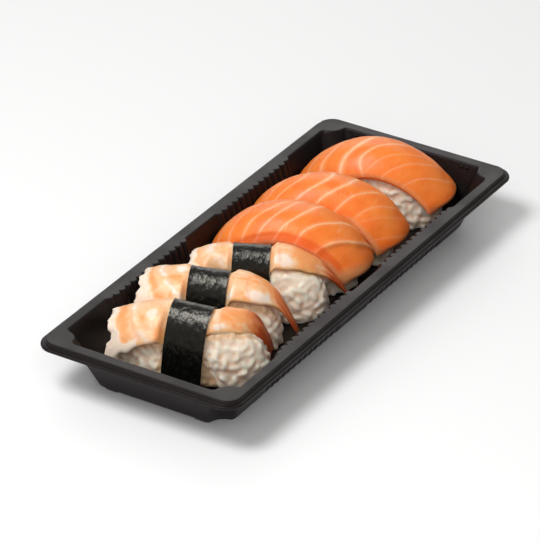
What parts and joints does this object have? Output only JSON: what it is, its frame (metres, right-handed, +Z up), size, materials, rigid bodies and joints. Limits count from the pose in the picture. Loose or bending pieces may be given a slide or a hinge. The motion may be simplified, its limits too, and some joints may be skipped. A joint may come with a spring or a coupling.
{
  "type": "takeaway sushi tray",
  "caption": "Shallow black takeaway tray with a stepped rim and fluted walls, holding a slanting row of nigiri: butterflied shrimp under seaweed bands, and salmon slices, on pressed rice.",
  "frame": {"origin": "middle of the tray's outline, on the surface that its corner feet stand on", "axes": "+X along the tray from the shrimp pieces to the salmon pieces, +Y across it towards the pieces' broad far ends, +Z up"},
  "size_m": [0.2158, 0.0908, 0.0351],
  "materials": {
    "tray": "satin black formed sheet",
    "shrimp": "cooked shrimp, pale flesh with orange stripes, moist",
    "nori": "dried seaweed, near black, slightly glossy",
    "salmon": "raw salmon, orange with pale fat lines, moist",
    "rice": "cooked rice, cream, sticky sheen"
  },
  "bodies": {
    "root": {"tray": "tray", "shrimp_1": "shrimp", "shrimp_2": "shrimp", "shrimp_3": "shrimp", "nori_band_1": "nori", "nori_band_2": "nori", "nori_band_3": "nori", "rice_shrimp_1": "rice", "rice_shrimp_2": "rice", "rice_shrimp_3": "rice", "salmon_1": "salmon", "salmon_2": "salmon", "salmon_3": "salmon", "rice_salmon_1": "rice", "rice_salmon_2": "rice", "rice_salmon_3": "rice"}
  },
  "joints": []
}
